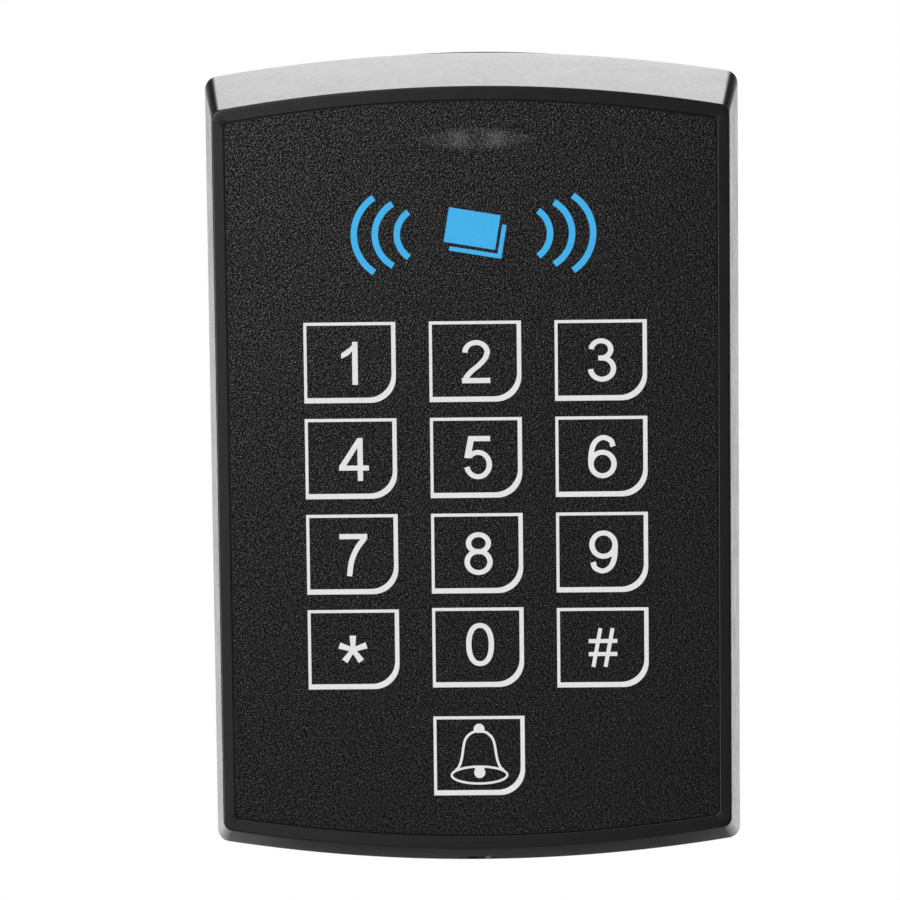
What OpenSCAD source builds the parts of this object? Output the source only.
// Wall-mounted card reader with a keypad. Rounded plastic housing with
// twelve number keys, a doorbell key, a card field and a status window.
// X is to the right, Z is up and Y runs into the wall. The origin is the
// centre of the wall plate's rear face, so the front faces -Y.

/* [Housing] */
// Width of the housing at the wall
body_w = 75; // [75:1:80]
// Height of the housing at the wall, on the centre line
body_h = 115; // [115:1:122]
// Depth from the wall plane to the front rim
body_d = 22; // [22:0.5:26]
// Width of the front rim
front_w = 69; // [69:0.5:72]
// Height of the front rim, on the centre line
front_h = 102.9; // [102.9:0.1:106]
// Radius of the curved top and bottom edges at the front
front_arc = 202; // [190:1:230]
// Radius of the curved top and bottom edges at the wall
body_arc = 227; // [210:1:250]
// Thickness of the side walls
wall = 2; // [1.6:0.1:2.1]
// Thickness of the front wall behind the overlay
front_t = 1.8; // [1.6:0.1:1.9]

/* [Keys] */
// Sideways distance between key centres
pitch_x = 16.84; // [16.5:0.02:17.1]
// Vertical distance between key rows
pitch_z = 12.94; // [12.6:0.02:13.1]
// Sideways offset of the key field from the centre line
key_dx = 0.365; // [0:0.005:0.5]
// Height of the first key row above the centre
row1_z = 14.82; // [14.4:0.02:15.2]
// Height of the doorbell key, below the centre
bell_z = -38.65; // [-39:0.05:-38.4]
// Width of a key plunger's cap
cap_w = 8.7; // [8:0.1:9]
// Height of a key plunger's cap
cap_h = 7.2; // [6.6:0.1:7.6]

/* [Window and card field] */
// Width of the smoked window behind the film
win_w = 16; // [14:0.5:17]
// Height of the smoked window behind the film
win_h = 2.76; // [2.4:0.02:3]
// Height of the status window above the centre
win_z = 44.5; // [44.3:0.1:44.8]
// Width of the antenna coil
coil_w = 45; // [40:1:46]
// Height of the antenna coil
coil_h = 20; // [16:0.5:20.4]

/* [Wall mounting] */
// Distance between the upper and the lower wall screw
screws_z = 83.5; // [80:0.5:84]
// Distance between the left and the right wall screw
screws_x = 60; // [56:0.5:60]
// Radius of the wall screw holes
screw_hole_r = 2.1; // [1.8:0.1:2.3]
// Thickness of the wall plate's sheet
plate_t = 1.2; // [1:0.1:1.4]

/* [Hidden] */

cut = 1;      // how far a cut runs past a face
skin = 0.01;  // thin slice for hulls, and overlap of joined parts
facets = 48;  // sides of every round part

// Y levels, from the rim towards the wall
y_rim = -body_d;
y_film = y_rim + 0.15;        // overlay front
y_floor = y_rim + 0.5;        // recess floor, overlay back
y_cap = y_floor + 0.02;       // front of the key caps and the window
y_inner = y_floor + front_t;  // inside of the front wall
y_flange = y_inner + 0.05;    // front of the key and window flanges
y_board = y_rim + 5.8;        // front of the circuit board
y_plunger = y_board - 2.5;    // rear of the plungers, front of the stems
y_back = y_board + 1.6;       // rear of the circuit board
y_cover = -6;                 // inside of the rear cover
y_cover_back = -4.2;          // outside of the rear cover
y_skirt = -2;                 // start of the straight skirt
y_end = -0.3;                 // edge of the skirt

// places as [x, z]
posts = [for (z = [44.6, -44.6], x = [29.6, -29.6]) [x, z]];  // for the cover
bosses = [for (z = [30, -31], x = [27.2, -27.2]) [x, z]];     // for the board
sensor_at = [19, 14];
window_at = [key_dx, win_z];
led_spots = [for (s = [-1, 1]) [key_dx + s * 2.6, win_z]];
keys = [for (row = [0:3], col = [0:2])
    [key_dx + (col - 1) * pitch_x, row1_z - row * pitch_z]];
bell = [key_dx, bell_z];
all_keys = concat(keys, [bell]);
cap_size = [cap_w, cap_h];

// recess for the overlay
recess_w = front_w - 3.2;
recess_h = front_h - 3.6;
recess_arc = front_arc - 1.8;

post_hole_depth = 8;
boss_hole_depth = 3.9;
post_root = 0.4;              // how far posts and bosses sink into the front wall

// terminal block
terminals = 10;
term_pitch = 3.81;
term_z = -16;
y_term_screw = y_back + 6;    // bottom of the screw wells

// wall plate's hooks, locking tab and locking screw
hook_x = 18;
hook_w = 7;
hook_z = 42;
bent_t = 1.2;                 // thickness of the hooks and the tab
cable_w = 42;                 // width of the cable windows
lock_y = -6;                  // axis of the locking screw, which lies along Z
lock_head_z = -54;            // top of the screw head

// points of an arc in n steps, leaving out some at the start and the end
function arc(x, z, r, from, to, n, skip_start = 0, skip_end = 0) =
    [for (i = [skip_start:n - skip_end]) let (a = from + (to - from) * i / n)
        [x + r * cos(a), z + r * sin(a)]];

// closed outline with straight sides, bowed top and bottom, rounded corners
function upper_outline(w, h, bow_r, corner_r) =
    let (corner_x = w / 2 - corner_r, bow_z = h / 2 - bow_r,
        corner_z = bow_z + sqrt(pow(bow_r - corner_r, 2) - pow(corner_x, 2)),
        a = atan2(corner_z - bow_z, corner_x))
    concat(arc(corner_x, corner_z, corner_r, 0, a, 8),
        arc(0, bow_z, bow_r, a, 180 - a, 28, 1, 1),
        arc(-corner_x, corner_z, corner_r, 180 - a, 180, 8));
function outline(w, h, bow_r, corner_r) =
    let (top = upper_outline(w, h, bow_r, corner_r))
    concat(top, [for (i = [len(top) - 1:-1:0]) [top[i][0], -top[i][1]]]);

// rounded rectangle about a centre, n steps to a corner
function rrect(size, r, at = [0, 0], n = 6) =
    let (signs = [[1, 1], [-1, 1], [-1, -1], [1, -1]])
    [for (q = [0:3], p = arc(at[0] + signs[q][0] * (size[0] / 2 - r),
        at[1] + signs[q][1] * (size[1] / 2 - r), r, q * 90, q * 90 + 90, n)) p];

// pointed oval made of two arcs
function oval(w, h, at) =
    let (rise = h / 2, r = (w * w / 4 + rise * rise) / (2 * rise),
        a = asin(w / 2 / r))
    concat(arc(at[0], at[1] + rise - r, r, 90 - a, 90 + a, 14),
        arc(at[0], at[1] - rise + r, r, -90 - a, -90 + a, 14, 1, 1));

// outside size at depth y, between the rim's size and the skirt's
function flare(front, body, y) =
    front + (body - front) * (y - y_rim) / (y_skirt - y_rim);

// a flat shape in the XZ plane, thick from y0 to y1
module slab(points, y0, y1) {
    translate([0, y1, 0]) rotate([90, 0, 0]) linear_extrude(y1 - y0) polygon(points);
}
// a round bar along Y
module rod(at, r, y0, y1) {
    translate([at[0], y1, at[1]]) rotate([90, 0, 0])
        cylinder(r = r, h = y1 - y0, $fn = facets);
}
// a box between two opposite corners
module box(low, high) {
    translate(low) cube(high - low);
}
// a box about a centre [x, z], with a size [width, height]
module block(at, size, y0, y1) {
    box([at[0] - size[0] / 2, y0, at[1] - size[1] / 2],
        [at[0] + size[0] / 2, y1, at[1] + size[1] / 2]);
}
// a block and a bar on the rear of the board, from level h0 to h1 off it
module rear_block(at, size, h0, h1) {
    block(at, size, y_back + h0, y_back + h1);
}
module rear_rod(at, r, h0, h1) {
    rod(at, r, y_back + h0, y_back + h1);
}
// a round bar on the locking screw's axis
module lock_rod(r, z0, z1) {
    translate([0, lock_y, z0]) cylinder(r = r, h = z1 - z0, $fn = facets);
}
// screw along Y, with a cross recess in its rear-facing head
module pan_screw(at, r, head_r, head_h, y_tip, y_head) {
    arm = head_r * 0.6;
    y_top = y_head + head_h;
    difference() {
        union() {
            rod(at, r, y_tip, y_head + 0.1);
            rod(at, head_r, y_head, y_top);
        }
        block(at, [2 * arm, arm / 2], y_top - 0.7, y_top + cut);
        block(at, [arm / 2, 2 * arm], y_top - 0.7, y_top + cut);
    }
}

module shell_outside() {
    body = outline(body_w, body_h, body_arc, 1.7);
    hull() {
        slab(outline(front_w, front_h, front_arc, 1), y_rim, y_rim + skin);
        slab(body, y_skirt - skin, y_skirt);
    }
    slab(body, y_skirt - skin, y_end);
}
module shell_inside() {
    body = outline(body_w - 2 * wall, body_h - 2 * wall, body_arc - wall, 1.2);
    hull() {
        slab(outline(flare(front_w, body_w, y_inner) - 2 * wall,
            flare(front_h, body_h, y_inner) - 2 * wall, front_arc - wall, 1),
            y_inner, y_inner + skin);
        slab(body, y_skirt - skin, y_skirt);
    }
    slab(body, y_skirt - skin, cut);
}
module front_shell() {
    color([0.06, 0.06, 0.065]) difference() {
        union() {
            difference() {
                shell_outside();
                shell_inside();
                slab(outline(recess_w, recess_h, recess_arc, 0.9), y_rim - cut, y_floor);
                for (k = all_keys) {
                    // guide hole, and a shallow pocket that lets the film flex
                    slab(rrect(cap_size + [0.3, 0.3], 0.8, k, 3),
                        y_floor - cut, y_inner + cut);
                    slab(rrect(cap_size + [2.2, 2], 1.4, k, 4),
                        y_floor - cut, y_floor + 0.6);
                }
                slab(oval(win_w + 0.3, win_h + 0.15, window_at),
                    y_floor - cut, y_inner + cut);
            }
            for (p = posts) rod(p, 2.6, y_inner - post_root, y_cover);
            for (p = bosses) rod(p, 2.4, y_inner - post_root, y_board);
            // seat for the locking screw
            intersection() {
                shell_outside();
                box([-5, -9.5, -body_h / 2], [5, -2.4, -52.6]);
            }
        }
        for (p = posts) rod(p, 1.2, y_cover - post_hole_depth, y_cover + cut);
        for (p = bosses) rod(p, 1.15, y_board - boss_hole_depth, y_board + cut);
        // hole for the locking screw, wider for its head
        lock_rod(1.7, -body_h, -50);
        lock_rod(3, -body_h, lock_head_z);
    }
}
module overlay_film() {
    gap = 0.2;  // around the film
    color([0.09, 0.09, 0.09])
        slab(outline(recess_w - 2 * gap, recess_h - 2 * gap, recess_arc - gap, 0.8),
            y_film, y_floor);
}
module status_window() {
    color([0.3, 0.3, 0.31]) union() {
        slab(oval(win_w, win_h, window_at), y_cap, y_flange + skin);
        slab(rrect([win_w + 3, win_h + 1.9], 1, window_at), y_flange, y_inner + 0.8);
    }
}
// bar behind the window, with a light pipe to each LED
module light_guide() {
    color([0.85, 0.88, 0.9]) union() {
        slab(rrect([12, 3.4], 0.8, window_at), y_inner + 0.85, y_inner + 1.75);
        for (p = led_spots) rod(p, 1.2, y_inner + 1.7, y_board - 1.05);
    }
}
module circuit_board() {
    notch = 7.2;
    outward = 0.4;  // shift of a corner notch from its post
    color([0.05, 0.33, 0.16]) difference() {
        block([0, 0], [60, 95], y_board, y_back);
        for (p = posts) block(p + outward * [sign(p[0]), sign(p[1])],
            [notch, notch], y_board - cut, y_back + cut);
        for (p = bosses) rod(p, 1.2, y_board - cut, y_back + cut);
    }
}
module antenna_coil() {
    at = [key_dx, 31.4];
    band = 2.5;
    color([0.72, 0.38, 0.16]) difference() {
        slab(rrect([coil_w, coil_h], 5, at), y_inner + 0.1, y_inner + 1.7);
        slab(rrect([coil_w - 2 * band, coil_h - 2 * band], 5 - band, at),
            y_inner - cut, y_inner + 3);
    }
}
module indicator_leds() {
    color([0.95, 0.93, 0.85])
        for (p = led_spots) block(p, [2.8, 3.5], y_board - 1, y_board);
}
// push switches on the front of the board, each with a well for a stem
module switch_bases() {
    color([0.12, 0.12, 0.13]) for (k = all_keys) difference() {
        block(k, [6.2, 6.2], y_board - 1.9, y_board);
        rod(k, 1.7, y_board - 3, y_board - 0.6);
    }
}
// key cap with a wider flange behind the front wall
module plunger(at) {
    color([0.1, 0.1, 0.1]) union() {
        slab(rrect(cap_size, 0.7, at, 4), y_cap, y_flange + skin);
        slab(rrect(cap_size + [2.3, 2.2], 1, at, 4), y_flange, y_plunger);
    }
}
module stem(at) {
    color([0.75, 0.75, 0.72]) rod(at, 1.65, y_plunger, y_board - 1);
}

// rear side of the board
module microcontroller() {
    at = [0, 5];
    lead_pitch = 0.8;
    lead_w = 0.4;
    span = 12;  // across the leads
    color([0.08, 0.08, 0.09]) union() {
        rear_block(at, [10, 10], 0.05, 1.45);
        for (i = [-5:5]) {
            rear_block(at + [0, i * lead_pitch], [span, lead_w], 0, 0.25);
            rear_block(at + [i * lead_pitch, 0], [lead_w, span], 0, 0.25);
        }
    }
}
module reader_chip() {
    z = 19;
    first_lead_x = -4.45;
    lead_pitch = 1.27;
    color([0.08, 0.08, 0.09]) union() {
        rear_block([0, z], [10, 4], 0.05, 1.6);
        for (i = [0:7])
            rear_block([first_lead_x + i * lead_pitch, z], [0.4, 6], 0, 0.25);
    }
}
// round can with a sound hole
module buzzer() {
    at = [18, 30];
    color([0.07, 0.07, 0.07]) difference() {
        rear_rod(at, 6, 0, 6.5);
        rear_rod(at, 1, 5, 7);
    }
}
// box with a shallow channel along its underside
module relay() {
    at = [-17, 33.5];
    color([0.92, 0.9, 0.84]) difference() {
        rear_block(at, [14, 9], 0, 5.4);
        rear_block(at, [14 + 2 * cut, 5], -cut, 0.4);
    }
}
function terminal_x(i) = (i - (terminals - 1) / 2) * term_pitch;
module terminal_block() {
    w = terminals * term_pitch + 0.4;
    color([0.1, 0.42, 0.2]) difference() {
        union() {
            rear_block([0, term_z], [w, 8], 0, 7.6);
            rear_block([0, term_z + 0.2], [w, 5.6], 0, 9);
        }
        // wire entry from below and screw well from the rear
        for (i = [0:terminals - 1]) {
            rear_block([terminal_x(i), term_z - 1.75], [2.7, 6.5], 2.6, 5.4);
            rod([terminal_x(i), term_z], 1.5, y_term_screw, y_back + 10);
        }
    }
}
module terminal_screws() {
    color([0.75, 0.75, 0.76]) for (i = [0:terminals - 1]) {
        at = [terminal_x(i), term_z];
        difference() {
            rod(at, 1.42, y_term_screw, y_back + 7.9);
            rear_block(at, [4, 0.5], 7.3, 8.5);
        }
    }
}
module capacitors() {
    color([0.12, 0.13, 0.2])
        for (p = [[-20, -2.5], [-20, 5.5], [20, -2.5]]) rear_rod(p, 2.5, 0, 7);
}
// can on a thin flange
module crystal() {
    at = [16.5, 5.6];
    color([0.8, 0.8, 0.8]) union() {
        slab(rrect([11.5, 4.7], 2.3, at), y_back, y_back + 0.5);
        slab(rrect([10.2, 3.6], 1.75, at), y_back + 0.4, y_back + 3.5);
    }
}
// body, metal tab above it and three leads below
module voltage_regulator() {
    x = -18;
    color([0.1, 0.1, 0.1]) union() {
        rear_block([x, 17], [6.6, 6], 0.1, 2.3);
        rear_block([x, 20.5], [5.2, 3], 0, 0.5);
        for (i = [-1:1]) rear_block([x + i * 2.3, 13.2], [0.8, 3.6], 0, 0.5);
    }
}
// a row below the microcontroller, a column beside it and a row above
module chip_components() {
    color([0.35, 0.28, 0.2]) {
        for (i = [0:5]) rear_block([-10.5 + i * 4.2, -4], [2, 1.2], 0, 0.55);
        for (i = [0:3]) rear_block([-10, 2 + i * 2.8], [1.2, 2], 0, 0.55);
        for (i = [0:4]) rear_block([-5.4 + i * 3.2, 26], [1.2, 2], 0, 0.6);
    }
}
// light-dependent resistor on two leads, looks out of the rear cover
module tamper_sensor() {
    color([0.8, 0.45, 0.25]) union() {
        rod(sensor_at, 2.5, y_cover - 2.8, y_cover - 0.8);
        for (s = [-1, 1]) rod(sensor_at + [s * 1.7, 0], 0.3, y_back, y_cover - 2.7);
    }
}

module rear_cover() {
    inset = 2 * wall + 0.3;  // both walls and the play between them
    y0 = y_cover - cut;
    y1 = y_cover_back + cut;
    color([0.08, 0.08, 0.085]) difference() {
        union() {
            slab(outline(flare(front_w, body_w, y_cover) - inset,
                flare(front_h, body_h, y_cover) - inset, body_arc - wall - 4, 1),
                y_cover, y_cover_back);
            // ribs on the inside
            for (z = [-6.2, 24])
                block([0, z], [50, 1.2], y_cover - 0.7, y_cover + 0.1);
        }
        // window for the terminals and the cable
        slab(rrect([cable_w, 24.5], 2, [0, -22.75]), y_cover - 2, y1);
        for (p = posts) rod(p, 1.4, y0, y1);
        // slots for the wall plate's hooks
        for (s = [-1, 1]) block([hook_x * s, 41.3], [hook_w + 1, 4], y0, y1);
        rod(sensor_at, 3, y0, y1);
        // room for the locking tab
        box([-5.6, y0, -body_h], [5.6, y1, -48.7]);
    }
}
module board_screws() {
    color([0.7, 0.7, 0.72]) for (p = bosses)
        pan_screw(p, r = 1.08, head_r = 2.1, head_h = 1.4,
            y_tip = y_board - boss_hole_depth + 0.5, y_head = y_back);
}
module cover_screws() {
    color([0.2, 0.2, 0.21]) for (p = posts)
        pan_screw(p, r = 1.13, head_r = 2.3, head_h = 1.5,
            y_tip = y_cover - post_hole_depth + 1, y_head = y_cover_back);
}
module wall_plate() {
    y_hook = -7.6;            // front of the hooks
    y_bend = -plate_t + 0.1;  // rear end of the bent parts, inside the sheet
    y_cut = -4;               // front end of the cuts through the sheet
    tab_z = -52.4;
    color([0.68, 0.69, 0.7]) difference() {
        union() {
            slab(rrect([68, 104.8], 4), -plate_t, 0);
            // two hooks the housing hangs on
            for (s = [-1, 1]) {
                x0 = hook_x * s - hook_w / 2;
                x1 = x0 + hook_w;
                box([x0, y_hook, hook_z], [x1, y_bend, hook_z + bent_t]);
                box([x0, y_hook, hook_z], [x1, y_hook + bent_t, hook_z + 3.8]);
            }
            // tab and pressed nut for the locking screw
            box([-4.5, -9.4, tab_z], [4.5, y_bend, tab_z + bent_t]);
            lock_rod(2.9, -51.3, -49.3);
        }
        // window for the cable
        slab(rrect([cable_w, 28], 3, [0, -24]), y_cut, cut);
        // windows left by the bent hooks
        for (s = [-1, 1])
            block([hook_x * s, hook_z - 2.7], [hook_w + 0.8, 5.4], -plate_t - skin, cut);
        for (s = [-1, 1]) {
            rod([0, s * screws_z / 2], screw_hole_r, y_cut, cut);
            rod([s * screws_x / 2, 0], screw_hole_r, y_cut, cut);
        }
        lock_rod(1.5, -60, -40);
    }
}
// screw along Z, with a cross recess in its downward-facing head
module locking_screw() {
    head_h = 1.5;
    arm = 1.6;
    slot_w = 0.8;
    color([0.15, 0.15, 0.16]) difference() {
        union() {
            lock_rod(1.44, lock_head_z - 0.05, -48.85);
            lock_rod(2.75, lock_head_z - head_h, lock_head_z);
        }
        for (a = [0, 90])
            translate([0, lock_y, lock_head_z - head_h - 0.5]) rotate([0, 0, a])
                translate([-arm, -slot_w / 2, 0]) cube([2 * arm, slot_w, 1.2]);
    }
}

front_shell();
overlay_film();
status_window();
light_guide();
circuit_board();
switch_bases();
antenna_coil();
microcontroller();
reader_chip();
indicator_leds();
buzzer();
relay();
terminal_block();
terminal_screws();
capacitors();
crystal();
voltage_regulator();
chip_components();
tamper_sensor();
rear_cover();
board_screws();
cover_screws();
wall_plate();
locking_screw();
plunger(keys[0]);  // plunger_1
plunger(keys[1]);  // plunger_2
plunger(keys[2]);  // plunger_3
plunger(keys[3]);  // plunger_4
plunger(keys[4]);  // plunger_5
plunger(keys[5]);  // plunger_6
plunger(keys[6]);  // plunger_7
plunger(keys[7]);  // plunger_8
plunger(keys[8]);  // plunger_9
plunger(keys[9]);  // plunger_star
plunger(keys[10]);  // plunger_0
plunger(keys[11]);  // plunger_hash
plunger(bell);  // plunger_bell
stem(keys[0]);  // stem_1
stem(keys[1]);  // stem_2
stem(keys[2]);  // stem_3
stem(keys[3]);  // stem_4
stem(keys[4]);  // stem_5
stem(keys[5]);  // stem_6
stem(keys[6]);  // stem_7
stem(keys[7]);  // stem_8
stem(keys[8]);  // stem_9
stem(keys[9]);  // stem_star
stem(keys[10]);  // stem_0
stem(keys[11]);  // stem_hash
stem(bell);  // stem_bell
